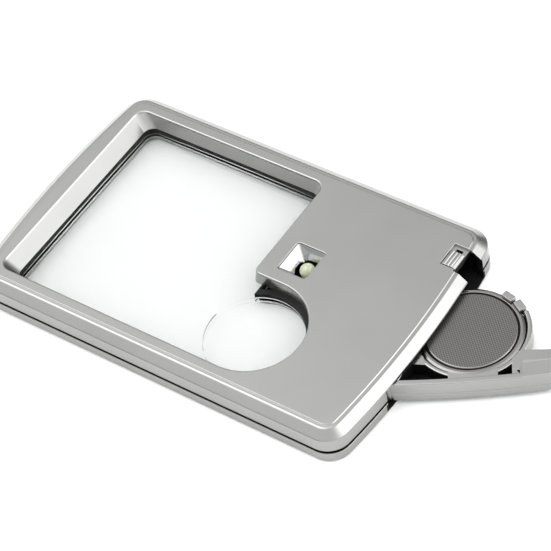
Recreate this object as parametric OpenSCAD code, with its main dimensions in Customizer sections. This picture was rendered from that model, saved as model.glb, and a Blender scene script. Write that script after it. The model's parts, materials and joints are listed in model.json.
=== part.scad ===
// Pocket magnifier the size of a bank card: a clear bifocal lens in a two-shell case,
// with a lamp beside the lens and a coin cell in a drawer that swings out of one end.
// X runs along the case towards the drawer, Y across it, Z up out of the lamp face.
// The origin is the middle of the case's underside.

/* [Case] */
// Length of the case over its bulged ends
case_length = 85; // [84.5:0.1:85.5]
// Width of the case
case_width = 54; // [53.6:0.1:54.4]
// Height of the case
case_height = 7.5; // [7.4:0.05:7.7]
// How far each short end bulges out in the middle
end_bulge = 1.9; // [1.6:0.1:2.2]
// Radius of the case's corners in plan
corner_radius = 4.6; // [4.2:0.1:5]
// Thickness of the side walls
wall = 1.3; // [1.2:0.05:1.4]
// Thickness of the top and bottom skins
skin = 1.2; // [1.1:0.05:1.2]
// Width of the sloping edge round the upper face
bevel_run = 1.9; // [1.6:0.1:2.1]
// Height of the sloping edge
bevel_drop = 1.5; // [1.3:0.05:1.5]
// Top edge of the rear shell
rear_height = 2.4; // [2.3:0.05:2.5]
// Open line between the two shells
parting_gap = 0.7; // [0.5:0.05:0.8]

/* [Window] */
// Left edge of the window
window_left = -37.2; // [-37.4:0.1:-37]
// Right edge of the window
window_right = 6.5; // [6.3:0.1:6.7]
// Half the window's width across the case
window_half = 22.4; // [22.2:0.1:22.6]
// Corner radius of the window
window_corner = 2.2; // [1.8:0.1:2.6]
// How far the left wall of the window slopes in
left_slope = 2.3; // [2:0.1:2.4]
// How far the other window walls slope in
side_slope = 0.7; // [0.5:0.1:0.8]
// Level of the lower edge of the window walls
window_wall_foot = 4.4; // [4.4:0.05:4.6]

/* [Lens] */
// Thickness of the lens at its flange
lens_edge = 1.5; // [1.4:0.05:1.6]
// How much each face of the reading lens rises at its middle
lens_rise = 1; // [0.8:0.1:1.1]
// Radius of the strong round lens
inset_radius = 9.45; // [9.3:0.05:9.6]
// Thickness of the strong round lens at its edge
inset_edge = 2.6; // [2.4:0.05:2.7]
// How much each face of the strong lens rises at its middle
inset_rise = 0.5; // [0.4:0.05:0.6]

/* [Lamp] */
// Length of the lamp recess along the case
recess_length = 6.2; // [6:0.1:6.4]
// Width of the lamp recess across the case
recess_width = 6.9; // [6.7:0.1:7]
// Tilt of the lamp towards the lens
lamp_tilt = 20; // [16:1:22]

/* [Drawer] */
// Angle between the open drawer and the closed one
open_angle = 59; // [55:1:62]
// Wall thickness of the drawer's outer bar
bar_wall = 1.2; // [1.1:0.05:1.25]
// Top of the outer bar
bar_top = 5.45; // [5.3:0.05:5.5]
// Top of the ring round the cell
ring_top = 4.9; // [4.7:0.05:4.95]
// Diameter of the pivot pin
pin_diameter = 1.5; // [1.4:0.05:1.6]

/* [Cell] */
// Diameter of the coin cell
cell_diameter = 20; // [19.9:0.05:20]
// Thickness of the coin cell
cell_thickness = 2.5; // [2.4:0.05:2.5]

/* [Switch] */
// Travel of the switch slider
switch_travel = 1.4; // [1.2:0.1:1.45]

/* [Hidden] */

// Reach of shapes that run out past the part, and overlap of those that cut through it
far_out = 60;
over = 0.5;

// Case outline: two bulged ends, two straight sides, four round corners
half_length = case_length / 2;
half_width = case_width / 2;
end_radius = (half_width * half_width + end_bulge * end_bulge) / (2 * end_bulge);
end_centre = half_length - end_radius;
corner_y = half_width - corner_radius;
corner_angle = asin(corner_y / (end_radius - corner_radius));
corner_x = end_centre + (end_radius - corner_radius) * cos(corner_angle);
corner_steps = 8;
end_steps = 10;

// Levels
parting_top = rear_height + parting_gap;
crease = case_height - bevel_drop - 0.1;
edge_step = 0.15;
edge_inset = bevel_run + 0.67;
ceiling = case_height - skin;
tongue_inset = 0.7;
tongue_top = 3.9;
bottom_round = 0.45;
window_wall = 1.1;

// Lens and its seat
lens_seat = 1.5;
lens_top = lens_seat + lens_edge;
lens_margin = 1.4;
lens_left = window_left + 0.6;
lens_right = window_right + 1.9;
lens_lap = 0.9;
lens_fit = 0.1;
lens_fence = 0.85;
clear_margin = 0.15;
lens_reach = 30;
dome_steps = 10;
notch_from = 172;
notch_to = 226;
window_middle = (window_left + left_slope + window_right - side_slope) / 2;
inset_x = 13.2;
tab_y = -1.5;
inset_y = (tab_y - window_half) / 2;
cutout_radius = (window_half + tab_y) / 2;
tab_corner = 1.4;
rim_gap = 0.1;
gasket_foot = lens_top + 0.05;
gasket_top = window_wall_foot - 0.05;

// Lamp
recess_x = 13.1;
recess_y = 4.75;
reflector_foot = 4.6;
reflector_flange = 0.8;
collar_gap = 0.05;
collar_wall = 0.12;
reflector_top = case_height - 0.25;
dish_foot = 4.9;
dish_radius = 2.4;
lamp_x = 14;
lamp_z = 5;
lamp_radius = 1.5;
lamp_shank = 2;
lamp_flange = 0.5;
lamp_flange_radius = lamp_radius + 0.3;
bore_foot = -3;
bore_height = 3.5;
cup_radius = 0.8;
cup_foot = -1.6;
cup_depth = 0.6;
lead_pitch = 2.54;
lead_size = 0.45;
lead_rise_x = 17.5;
lead_low = 2.1;

// Drawer, in its closed place
pivot_x = 39.35;
pivot_y = -8.55;
cell_x = 30.1;
cell_y = 6.4;
door_near = -12.3;
door_far = 21.3;
barrel_radius = half_length - pivot_x - 0.05;
post_radius = 1.65;
pin_foot = 0.5;
pin_top = case_height - 0.6;
drawer_floor = 1.35;
drawer_floor_top = 1.95;
bar_near = pivot_y + 0.6;
bar_far = 20.9;
bar_foot = 0.95;
sill_top = 0.75;
groove_foot = 2.6;
groove_height = 0.25;
groove_inset = 0.17;
running_gap = 0.05;
ring_inner = cell_diameter / 2 + 0.1;
ring_outer = ring_inner + 0.85;
thumb_near = 15.6;
thumb_inner = 39.3;
cell_foot = drawer_floor_top + 0.05;
cell_top = cell_foot + cell_thickness;
cap_margin = 1.5;
ring_low = 3.6;
// Angles about the cell where the ring is open, and where it is low
open_side = [110, 215];
low_side = [210, 262];
push_hole_radius = 3;
thumb_far = 20.7;
web_left = 35.3;
web_near = 13.7;
fill_near = 2.5;
fill_far = 11.3;
arm_plan = [
    [35.4, -1.9], [35.4, -4.1], [36.9, -7.4], [39.3, -8.5], [40.9, -6.2], [37.4, -3.8], [37.7, -1.5]
];
web_pocket = [[39.7, 14.5], [40.9, 15.3], [39.7, 15.3]];
floor_plan = [
    [35.4, -1.9], [35.4, -4.1], [36.9, -7.4], [39.3, -8.5], [far_out, -8.5], [far_out, bar_far],
    [web_left, bar_far]
];
// Each hook: angle about the cell, half width, inner and outer reach, top
hooks = [[136, 1.2, 9.1, 10.5, 5.15], [119, 1.2, 9.3, 10.8, 5.1]];

// Switch
slot_near = 15.9;
slot_far = 21.05;
slot_left = 35.9;
slot_right = 38.95;
slot_floor = 7;
slot_plate = 1.05;
slot_wall = 0.6;
notch_near = 15.35;
notch_far = 21;
knob_near = 16.05;
knob_far = knob_near + 3.5;
knob_left = 36;
knob_right = 38.85;
knob_slope = 0.75;
ridge_height = 0.15;
ridge_width = 0.35;
ridge_pitch = 0.8;
stem_left = 36.9;
stem_right = 37.9;
stem_near = 16.9;
stem_far = 18.7;
carrier_foot = 5.35;
carrier_top = 5.85;
carrier_far = 22.1;

// Contact strips under the front shell
strip = 0.25;
strip_foot = ceiling - strip;
pad_left = 33;
pad_right = 34.4;
pad_near = 19.2;
tab_near = 7;
tab_far = 9.4;
tab_foot = 3;
rail_width = 1.5;
rail_far = 21.4;
feed_left = 17.1;
feed_width = 1;
feed_far = 23.4;
spring_from = 22.5;
spring_touch = 28.2;
spring_end = 29;
spring_width = 2;

// Screws: left pair in the frame, right pair in the corners
screw_places = [[-39, -24.2], [-39, 24.2], [37.4, -23], [37.6, 23.2]];
screw_radius = 0.7;
screw_top = 6;
head_top = 0.9;
cross_half = 0.7;
cross_width = 0.3;
boss_radius = 1.35;
boss_split = 4.05;

// ---- Outlines -----------------------------------------------------------------------------

// Right half of the outline, drawn in by `inset`, counter-clockwise from the near side
function half_outline(inset) = concat(
    [for (i = [0 : corner_steps])
        let (a = -90 + (90 - corner_angle) * i / corner_steps)
        [corner_x + (corner_radius - inset) * cos(a), -corner_y + (corner_radius - inset) * sin(a)]],
    [for (i = [1 : end_steps - 1])
        let (a = corner_angle * (2 * i / end_steps - 1))
        [end_centre + (end_radius - inset) * cos(a), (end_radius - inset) * sin(a)]],
    [for (i = [0 : corner_steps])
        let (a = corner_angle + (90 - corner_angle) * i / corner_steps)
        [corner_x + (corner_radius - inset) * cos(a), corner_y + (corner_radius - inset) * sin(a)]]
);

function unit(v) = v / norm(v);

// Left-hand normal of the path's segment that starts at point i
function normal_at(path, i) = let (d = unit(path[i + 1] - path[i])) [-d.y, d.x];

// Offset direction at point i of the path, mitred at bends
function mitre(path, i) =
    i == 0 ? normal_at(path, 0)
    : i == len(path) - 1 ? normal_at(path, i - 1)
    : let (a = normal_at(path, i - 1), b = normal_at(path, i)) (a + b) / (1 + a * b);

// Outline of a band of even thickness, centred on a path
function band_outline(path, thickness) = concat(
    [for (i = [0 : len(path) - 1]) path[i] - mitre(path, i) * thickness / 2],
    [for (i = [len(path) - 1 : -1 : 0]) path[i] + mitre(path, i) * thickness / 2]
);

module plan(inset) {
    half = half_outline(inset);
    polygon(concat(half, [for (p = half) -p]));
}

module slab(from, to, inset) {
    translate([0, 0, from]) linear_extrude(to - from) plan(inset);
}

module block(low, high) {
    translate(low) cube(high - low);
}

module rounded_rect(left, right, near, far, radius) {
    translate([left, near + radius]) square([right - left, far - near - 2 * radius]);
    translate([left + radius, near]) square([right - left - 2 * radius, far - near]);
    for (x = [left + radius, right - radius], y = [near + radius, far - radius])
        translate([x, y]) circle(radius, $fn = 48);
}

// The round part of the window beside the lamp; `slope` moves its near edge in
module cutout_plan(grow, slope) {
    translate([inset_x, inset_y + slope / 2]) circle(cutout_radius + grow - slope / 2, $fn = 96);
    translate([0, -window_half - grow + slope])
        square([inset_x, window_half + tab_y + 2 * grow - slope]);
}

module window_plan(grow) {
    rounded_rect(window_left - grow, window_right + grow, -window_half - grow,
        window_half + grow, window_corner);
    cutout_plan(grow, 0);
}

// The clear opening at the level of the lens
module clear_plan() {
    rounded_rect(window_left + left_slope, window_right + lens_margin, -window_half + side_slope,
        window_half - side_slope, window_corner);
    translate([inset_x, inset_y]) circle(inset_radius + clear_margin, $fn = 96);
    translate([0, inset_y - inset_radius - clear_margin])
        square([inset_x, inset_radius + clear_margin]);
}

module lens_plan(grow) {
    rounded_rect(lens_left - grow, lens_right + grow, -window_half - lens_lap - grow,
        window_half + lens_lap + grow, window_corner);
    translate([inset_x, inset_y]) circle(inset_radius + lens_margin + grow, $fn = 96);
}

// A strip bent in the XZ plane along a path of [x, z] points, `width` wide about the given y
module bent_strip(path, thickness, y, width) {
    translate([0, y + width / 2, 0]) rotate([90, 0, 0])
        linear_extrude(width) polygon(band_outline(path, thickness));
}

// ---- Case ---------------------------------------------------------------------------------

// Solid outer shape of the front shell, bevelled round its upper face
module front_body() {
    hull() {
        slab(parting_top, crease, 0);
        slab(case_height - edge_step - 0.05, case_height - edge_step, bevel_run);
    }
    slab(case_height - 2 * edge_step, case_height, edge_inset);
}

// Tapered opening of the window, wider at the top
module window_opening() {
    hull() {
        translate([0, 0, case_height])
            linear_extrude(over)
                rounded_rect(window_left, window_right, -window_half, window_half, window_corner);
        translate([0, 0, window_wall_foot - 0.1])
            linear_extrude(0.1)
                rounded_rect(window_left + left_slope, window_right - side_slope,
                    -window_half + side_slope, window_half - side_slope, window_corner);
    }
    hull() {
        translate([0, 0, case_height]) linear_extrude(over) cutout_plan(0, 0);
        translate([0, 0, window_wall_foot - 0.1]) linear_extrude(0.1) cutout_plan(0, side_slope);
    }
    translate([window_right, tab_y, window_wall_foot - over])
        linear_extrude(far_out)
            difference() {
                translate([-0.1, -0.1]) square(tab_corner + 0.1);
                translate([tab_corner, tab_corner]) circle(tab_corner, $fn = 48);
            }
}

// Doorway of the drawer through the end wall, below the given level
module doorway(top) {
    block([pivot_x - 0.2, door_near, -over], [far_out, door_far, top]);
}

// Block about the middle of the lamp recess, `margin` larger than the recess all round
module at_recess(from, to, margin) {
    translate([recess_x, recess_y, from])
        linear_extrude(to - from)
            square([recess_length + 2 * margin, recess_width + 2 * margin], center = true);
}

module front_cover() {
    color("silver")
        difference() {
            union() {
                difference() {
                    front_body();
                    slab(0, ceiling, wall);
                    slab(0, tongue_top + 0.2, tongue_inset - 0.1);
                }
                translate([0, 0, window_wall_foot])
                    linear_extrude(ceiling - window_wall_foot + 0.1) window_plan(window_wall);
                block([slot_left - slot_wall, slot_near - slot_wall, slot_floor - slot_plate],
                    [slot_right, slot_far + slot_wall, ceiling + 0.1]);
                translate([pivot_x, pivot_y, bar_top + 0.2])
                    cylinder(h = ceiling - bar_top - 0.1, r = barrel_radius - 0.9, $fn = 48);
                for (p = screw_places)
                    translate([p.x, p.y, boss_split + running_gap])
                        cylinder(h = ceiling - boss_split, r = boss_radius, $fn = 48);
            }
            window_opening();
            at_recess(ceiling - over, far_out, 0);
            doorway(crease - 0.15);
            block([slot_right - 0.01, notch_near, crease - over], [far_out, notch_far, far_out]);
            translate([0, 0, slot_floor])
                linear_extrude(far_out)
                    rounded_rect(slot_left, slot_right + over, slot_near, slot_far, 0.5);
            block([stem_left - 0.2, stem_near - 0.3, slot_floor - slot_plate - over],
                [stem_right + 0.2, stem_far + switch_travel + 0.3, slot_floor + over]);
            translate([pivot_x, pivot_y, 0])
                cylinder(h = pin_top + 0.05, r = pin_diameter / 2 + 0.01, $fn = 48);
            for (p = screw_places)
                translate([p.x, p.y, 0]) cylinder(h = screw_top + 0.2, r = screw_radius + 0.02, $fn = 32);
        }
}

// Strip of floor and wall that makes way for the drawer's outer bar, above a thin sill
module bar_path() {
    translate([0, 0, sill_top])
        linear_extrude(far_out)
            difference() {
                translate([pivot_x - barrel_radius, door_near]) square([far_out, door_far - door_near]);
                plan(bar_wall + 0.25);
            }
    intersection() {
        translate([pivot_x, pivot_y, sill_top])
            difference() {
                cylinder(h = skin, r = barrel_radius + 0.6, $fn = 64);
                translate([0, 0, -over]) cylinder(h = skin + 2 * over, r = post_radius, $fn = 48);
            }
        block([pivot_x + 0.3, pivot_y - 5, 0], [far_out, pivot_y + 5, skin + over]);
    }
}

module rear_cover() {
    color("silver")
        difference() {
            union() {
                difference() {
                    union() {
                        hull() {
                            slab(0, 0.05, bottom_round);
                            slab(bottom_round, rear_height, 0);
                        }
                        slab(rear_height - 0.1, tongue_top, tongue_inset);
                    }
                    slab(skin, far_out, wall);
                }
                translate([0, 0, skin - 0.1])
                    linear_extrude(lens_seat - skin + 0.1) lens_plan(lens_fit);
                translate([0, 0, skin - 0.1])
                    linear_extrude(tongue_top - skin + 0.1)
                        difference() {
                            lens_plan(lens_fence);
                            lens_plan(lens_fit);
                        }
                for (p = screw_places)
                    translate([p.x, p.y, skin - 0.1])
                        cylinder(h = boss_split - skin + 0.1, r = boss_radius, $fn = 48);
            }
            translate([0, 0, -over]) linear_extrude(skin + 2 * over) clear_plan();
            bar_path();
            translate([pivot_x, pivot_y, pin_foot - 0.05])
                cylinder(h = far_out, r = pin_diameter / 2 + 0.01, $fn = 48);
            for (p = screw_places)
                translate([p.x, p.y, -over]) {
                    cylinder(h = far_out, r = screw_radius + 0.1, $fn = 32);
                    cylinder(h = over + head_top, r = boss_radius - 0.05, $fn = 32);
                }
        }
}

module cover_screws() {
    color("dimgray")
        for (p = screw_places)
            translate([p.x, p.y, 0])
                difference() {
                    union() {
                        translate([0, 0, 0.1])
                            cylinder(h = head_top - 0.1, r = boss_radius - 0.2, $fn = 32);
                        translate([0, 0, head_top - 0.1])
                            cylinder(h = screw_top - head_top + 0.1, r = screw_radius, $fn = 32);
                    }
                    for (turn = [0, 90])
                        rotate(turn)
                            block([-cross_half, -cross_width / 2, -over],
                                [cross_half, cross_width / 2, head_top / 2]);
                }
}

// ---- Lens ---------------------------------------------------------------------------------

// Turned body between two bulging faces about the middle plane of the lens
module two_faces(half_thickness, rise, reach) {
    radius = (reach * reach + rise * rise) / (2 * rise);
    widest = asin(reach / radius);
    face = [
        for (i = [0 : dome_steps])
            let (a = widest * i / dome_steps)
            [radius * sin(a), half_thickness + rise - radius * (1 - cos(a))]
    ];
    translate([0, 0, lens_seat + lens_edge / 2])
        rotate_extrude($fn = 120)
            polygon(concat(face, [for (i = [dome_steps : -1 : 0]) [face[i].x, -face[i].y]]));
}

module lens_body() {
    translate([0, 0, lens_seat]) linear_extrude(lens_edge) lens_plan(0);
    intersection() {
        translate([0, 0, -over])
            linear_extrude(case_height)
                rounded_rect(window_left + left_slope + rim_gap,
                    window_right + lens_margin - rim_gap,
                    -window_half + side_slope + rim_gap, window_half - side_slope - rim_gap,
                    window_corner);
        translate([window_middle, 0, 0]) two_faces(lens_edge / 2, lens_rise, lens_reach);
    }
    translate([inset_x, inset_y, 0]) two_faces(inset_edge / 2, inset_rise, inset_radius);
}

// Shallow notch in the upper face where the two lenses meet
module lens_notch() {
    depth = 0.3;
    level = lens_seat + lens_edge / 2 + inset_edge / 2;
    translate([inset_x, inset_y, 0])
        rotate(notch_from)
            rotate_extrude(angle = notch_to - notch_from, $fn = 120)
                polygon([
                    [inset_radius - depth / 2, level + 0.1], [inset_radius, level - depth],
                    [inset_radius + depth / 2, level + 0.1]
                ]);
}

module bifocal_lens() {
    color("lightcyan", 0.5)
        difference() {
            lens_body();
            lens_notch();
        }
}

module lens_gasket() {
    color("black")
        translate([0, 0, gasket_foot])
            linear_extrude(gasket_top - gasket_foot)
                difference() {
                    lens_plan(-0.1);
                    clear_plan();
                }
}

// ---- Lamp ---------------------------------------------------------------------------------

module at_lamp() {
    translate([lamp_x, recess_y, lamp_z]) rotate([0, -lamp_tilt, 0]) children();
}

module led_reflector() {
    color("gainsboro")
        difference() {
            union() {
                at_recess(reflector_foot, ceiling - 0.02, reflector_flange);
                at_recess(reflector_foot, reflector_top, -collar_gap);
            }
            hull() {
                at_recess(reflector_top, reflector_top + over, -collar_gap - collar_wall);
                translate([lamp_x, recess_y, dish_foot]) cylinder(h = 0.05, r = dish_radius, $fn = 32);
            }
            at_lamp()
                translate([0, 0, bore_foot])
                    cylinder(h = bore_height, r = lamp_flange_radius, $fn = 48);
        }
}

module led_body() {
    shank = [
        [0, -lamp_shank - lamp_flange], [lamp_flange_radius, -lamp_shank - lamp_flange],
        [lamp_flange_radius, -lamp_shank], [lamp_radius, -lamp_shank]
    ];
    dome = [for (a = [0 : 10 : 90]) lamp_radius * [cos(a), sin(a)]];
    color("ivory")
        at_lamp()
            difference() {
                rotate_extrude($fn = 48) polygon(concat(shank, dome));
                translate([0, 0, cup_foot]) cylinder(h = cup_depth, r = cup_radius, $fn = 32);
            }
}

module led_phosphor() {
    color("khaki")
        at_lamp()
            translate([0, 0, cup_foot + 0.05])
                cylinder(h = cup_depth - 0.1, r = cup_radius - 0.05, $fn = 32);
}

module led_leads() {
    root = lamp_shank + lamp_flange + 0.02;
    bend = root + 0.75;
    path = [
        [lamp_x + root * sin(lamp_tilt), lamp_z - root * cos(lamp_tilt)],
        [lamp_x + bend * sin(lamp_tilt), lamp_z - bend * cos(lamp_tilt)],
        [lead_rise_x, lead_low],
        [lead_rise_x, strip_foot - 0.02]
    ];
    color("silver")
        for (side = [-1, 1])
            bent_strip(path, lead_size, recess_y + side * lead_pitch / 2, lead_size);
}

// ---- Switch -------------------------------------------------------------------------------

module switch_slider() {
    face = case_height - ridge_height;
    color("silver") {
        translate([0, knob_far, 0]) rotate([90, 0, 0])
            linear_extrude(knob_far - knob_near)
                polygon([
                    [knob_left, slot_floor + 0.05], [knob_right, slot_floor + 0.05],
                    [knob_right, slot_floor + 0.1], [knob_right - knob_slope, face],
                    [knob_left, face]
                ]);
        for (i = [0 : 2])
            block([knob_left + 0.2 + i * ridge_pitch, knob_near, face - 0.1],
                [knob_left + 0.2 + i * ridge_pitch + ridge_width, knob_far, case_height]);
        block([stem_left, stem_near, carrier_foot], [stem_right, stem_far, slot_floor + 0.1]);
    }
}

module switch_carrier() {
    color("dimgray")
        difference() {
            union() {
                block([pad_right, stem_near - 0.8, carrier_foot],
                    [stem_right + 0.8, stem_far + 0.8, carrier_top]);
                block([pad_left - 0.2, stem_near + 0.7, carrier_foot],
                    [pad_right + 0.2, carrier_far, carrier_top]);
            }
            block([stem_left - 0.02, stem_near - 0.02, carrier_foot - over],
                [stem_right + 0.02, stem_far + 0.02, carrier_top + over]);
        }
}

module switch_contact() {
    color("goldenrod")
        block([pad_left + 0.1, pad_near, carrier_top + 0.02],
            [pad_right - 0.1, carrier_far - 0.2, strip_foot - 0.04]);
}

// ---- Contacts -----------------------------------------------------------------------------

module positive_contact() {
    right = cell_x - cell_diameter / 2 - 0.25;
    left = right - rail_width;
    color("goldenrod") {
        block([right - strip, tab_near, tab_foot], [right, tab_far, ceiling]);
        block([left, tab_near, strip_foot], [right, rail_far, ceiling]);
        block([left, rail_far - rail_width + 0.3, strip_foot], [pad_right, rail_far, ceiling]);
    }
}

module feed_contact() {
    color("goldenrod") {
        block([feed_left, recess_y + lead_pitch / 2 - 0.7, strip_foot],
            [feed_left + feed_width, feed_far, ceiling]);
        block([feed_left, feed_far - feed_width, strip_foot], [pad_right, feed_far, ceiling]);
    }
}

module negative_contact() {
    pad = ceiling - strip / 2;
    touch = cell_top + 0.15 + strip / 2;
    path = [
        [feed_left, pad], [spring_from, pad], [spring_touch, touch], [spring_end, touch],
        [cell_x - 0.1, touch + 0.5]
    ];
    color("goldenrod") bent_strip(path, strip, recess_y - lead_pitch / 2, spring_width);
}

// ---- Drawer -------------------------------------------------------------------------------

// Turns a shape from the drawer's closed place to its open one
module opened() {
    translate([pivot_x, pivot_y, 0]) rotate(-open_angle) translate([-pivot_x, -pivot_y, 0])
        children();
}

module bar() {
    intersection() {
        difference() {
            union() {
                slab(bar_foot, bar_foot + 0.2, 0.15);
                slab(bar_foot + 0.2, bar_top, running_gap);
            }
            slab(0, case_height, bar_wall);
            difference() {
                slab(groove_foot, groove_foot + groove_height, -1);
                slab(groove_foot - 1, groove_foot + 1, groove_inset);
            }
        }
        union() {
            block([38, bar_near, 0], [far_out, bar_far, case_height]);
            block([38, pivot_y, drawer_floor], [far_out, bar_far, case_height]);
        }
    }
}

// Raised piece that fills the notch in the front shell and takes a thumb nail
module thumb_piece() {
    intersection() {
        front_body();
        block([thumb_inner, thumb_near, bar_top - 0.6], [far_out, thumb_far, case_height - 0.05]);
    }
    intersection() {
        slab(drawer_floor, bar_top, bar_wall - 0.1);
        block([thumb_inner, thumb_near - 0.5, drawer_floor], [far_out, thumb_far, bar_top]);
    }
}

// Wedge of the plan between two angles about the cell
module wedge(from, to) {
    middle = (from + to) / 2;
    polygon([[0, 0], for (a = [from, middle, to]) 20 * [cos(a), sin(a)]]);
}

// Floor, ring and webs of the tray, still solid where the cell goes
module tray_body() {
    translate([cell_x, cell_y, drawer_floor])
        cylinder(h = ring_top - drawer_floor, r = ring_outer, $fn = 96);
    intersection() {
        slab(drawer_floor, ring_top, bar_wall - 0.2);
        union() {
            block([web_left, web_near, drawer_floor], [far_out, bar_far, ring_top]);
            block([cell_x + 8, fill_near, drawer_floor], [far_out, fill_far, ring_top]);
            translate([0, 0, drawer_floor]) linear_extrude(ring_top - drawer_floor) polygon(arm_plan);
        }
    }
    intersection() {
        slab(drawer_floor, drawer_floor_top, bar_wall - 0.2);
        translate([0, 0, drawer_floor])
            linear_extrude(drawer_floor_top - drawer_floor) polygon(floor_plan);
    }
}

module tray() {
    difference() {
        tray_body();
        translate([cell_x, cell_y, drawer_floor_top]) {
            cylinder(h = far_out, r = ring_inner, $fn = 96);
            linear_extrude(far_out) wedge(open_side[0], open_side[1]);
        }
        translate([cell_x, cell_y, ring_low]) linear_extrude(far_out) wedge(low_side[0], low_side[1]);
        translate([cell_x, cell_y, -over]) cylinder(h = far_out, r = push_hole_radius, $fn = 48);
        translate([0, 0, drawer_floor_top]) linear_extrude(far_out) polygon(web_pocket);
    }
}

// Posts at the open side of the ring, with lips that hold the cell down
module hook(angle, half, inner, outer, top) {
    translate([cell_x, cell_y, 0]) rotate(angle) {
        block([ring_inner, -half, drawer_floor], [outer, half, top]);
        block([inner, -half, cell_top + 0.08], [outer, half, top]);
    }
}

module battery_drawer() {
    color("silver")
        opened()
            difference() {
                union() {
                    bar();
                    thumb_piece();
                    tray();
                    for (h = hooks) hook(h[0], h[1], h[2], h[3], h[4]);
                    translate([pivot_x, pivot_y, drawer_floor])
                        cylinder(h = bar_top - drawer_floor, r = barrel_radius, $fn = 64);
                }
                translate([pivot_x, pivot_y, -over])
                    cylinder(h = far_out, r = pin_diameter / 2 + running_gap, $fn = 48);
            }
}

module drawer_pin() {
    color("lightsteelblue")
        translate([pivot_x, pivot_y, pin_foot])
            cylinder(h = pin_top - pin_foot, r = pin_diameter / 2, $fn = 48);
}

// ---- Cell ---------------------------------------------------------------------------------

// Turned piece of the cell from a list of [radius, height above the cell's foot]
module cell_piece(profile) {
    opened() translate([cell_x, cell_y, cell_foot]) rotate_extrude($fn = 96) polygon(profile);
}

module cell_can() {
    r = cell_diameter / 2;
    h = cell_thickness;
    color("silver")
        cell_piece([
            [0, 0], [r - 0.4, 0], [r, 0.4], [r, h - 0.75], [r - 0.25, h - 0.25], [r - 0.7, h - 0.05],
            [r - 1.2, h - 0.05], [r - 1.2, h - 0.25], [r - 0.85, h - 0.35], [r - 0.3, h - 0.85],
            [r - 0.3, 0.3], [0, 0.3]
        ]);
}

module cell_gasket() {
    r = cell_diameter / 2;
    h = cell_thickness;
    color("black")
        cell_piece([
            [r - 1, 0.35], [r - 0.35, 0.35], [r - 0.35, h - 0.9], [r - 0.9, h - 0.4],
            [r - 1.25, h - 0.3], [r - 1.25, h - 0.1], [r - cap_margin + 0.05, h - 0.1],
            [r - cap_margin + 0.05, h - 0.35], [r - 1, h - 0.7]
        ]);
}

module cell_cap() {
    r = cell_diameter / 2 - cap_margin;
    h = cell_thickness;
    color("gray")
        cell_piece([
            [0, h - 0.3], [r - 0.3, h - 0.3], [r - 0.3, 0.4], [r, 0.4], [r, h - 0.15],
            [r - 0.15, h], [0, h]
        ]);
}

front_cover();
rear_cover();
bifocal_lens();
lens_gasket();
led_reflector();
led_body();
led_phosphor();
led_leads();
switch_slider();
switch_carrier();
switch_contact();
positive_contact();
negative_contact();
feed_contact();
battery_drawer();
drawer_pin();
cell_can();
cell_gasket();
cell_cap();
cover_screws();
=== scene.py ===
import json
import math

import bmesh
import bpy
from mathutils import Matrix, Vector


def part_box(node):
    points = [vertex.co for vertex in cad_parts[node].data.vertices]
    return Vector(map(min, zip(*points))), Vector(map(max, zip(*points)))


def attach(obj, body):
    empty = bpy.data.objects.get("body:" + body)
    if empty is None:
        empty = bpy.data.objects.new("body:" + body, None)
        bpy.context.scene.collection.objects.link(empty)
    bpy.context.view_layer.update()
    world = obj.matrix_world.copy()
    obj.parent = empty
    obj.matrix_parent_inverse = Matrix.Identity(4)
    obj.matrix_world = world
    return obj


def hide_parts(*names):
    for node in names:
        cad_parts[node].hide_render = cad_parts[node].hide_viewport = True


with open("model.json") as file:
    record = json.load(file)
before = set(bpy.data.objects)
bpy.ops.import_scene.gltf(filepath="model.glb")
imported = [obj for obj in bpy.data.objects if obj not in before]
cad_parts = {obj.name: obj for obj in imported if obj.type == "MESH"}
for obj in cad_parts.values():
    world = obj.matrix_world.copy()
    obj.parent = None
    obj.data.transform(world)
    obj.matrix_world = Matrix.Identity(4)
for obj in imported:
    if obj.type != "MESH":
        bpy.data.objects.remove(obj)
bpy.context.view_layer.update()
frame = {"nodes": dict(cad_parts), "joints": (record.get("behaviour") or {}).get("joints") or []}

MM = 0.001
# Features per metre of the slow drift in tone, and depth of a finish's grain in metres
TONE_SCALE = 60.0
GRAIN_DEPTH = 0.00002
WEAVE_DEPTH = 0.00003
# Where a noise factor starts and stops to count
NOISE_LOW, NOISE_HIGH = 0.3, 0.7

# ---- Materials ----------------------------------------------------------------------------


def node_material(name):
    """A new material, with its nodes, its links and its Principled shader."""
    material = bpy.data.materials.new(name)
    material.use_nodes = True
    nodes = material.node_tree.nodes
    return material, nodes, material.node_tree.links, nodes["Principled BSDF"]


def noise_at(nodes, links, scale, detail=2.0, roughness=0.5):
    """Noise in the object's own coordinates; scale is in features per metre."""
    place = nodes.new("ShaderNodeTexCoord")
    noise = nodes.new("ShaderNodeTexNoise")
    noise.inputs["Scale"].default_value = scale
    noise.inputs["Detail"].default_value = detail
    noise.inputs["Roughness"].default_value = roughness
    links.new(place.outputs["Object"], noise.inputs["Vector"])
    return noise.outputs["Fac"]


def ramp_between(nodes, links, factor, low, high, start=NOISE_LOW, end=NOISE_HIGH):
    """A colour ramp from low to high, driven by factor."""
    ramp = nodes.new("ShaderNodeValToRGB")
    ramp.color_ramp.elements[0].position = start
    ramp.color_ramp.elements[1].position = end
    ramp.color_ramp.elements[0].color = (*low, 1)
    ramp.color_ramp.elements[1].color = (*high, 1)
    links.new(factor, ramp.inputs["Fac"])
    return ramp.outputs["Color"]


def ranged(nodes, links, factor, low, high):
    """Maps a noise factor to a number between low and high."""
    spread = nodes.new("ShaderNodeMapRange")
    spread.inputs["From Min"].default_value = NOISE_LOW
    spread.inputs["From Max"].default_value = NOISE_HIGH
    spread.inputs["To Min"].default_value = low
    spread.inputs["To Max"].default_value = high
    links.new(factor, spread.inputs["Value"])
    return spread.outputs["Result"]


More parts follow.
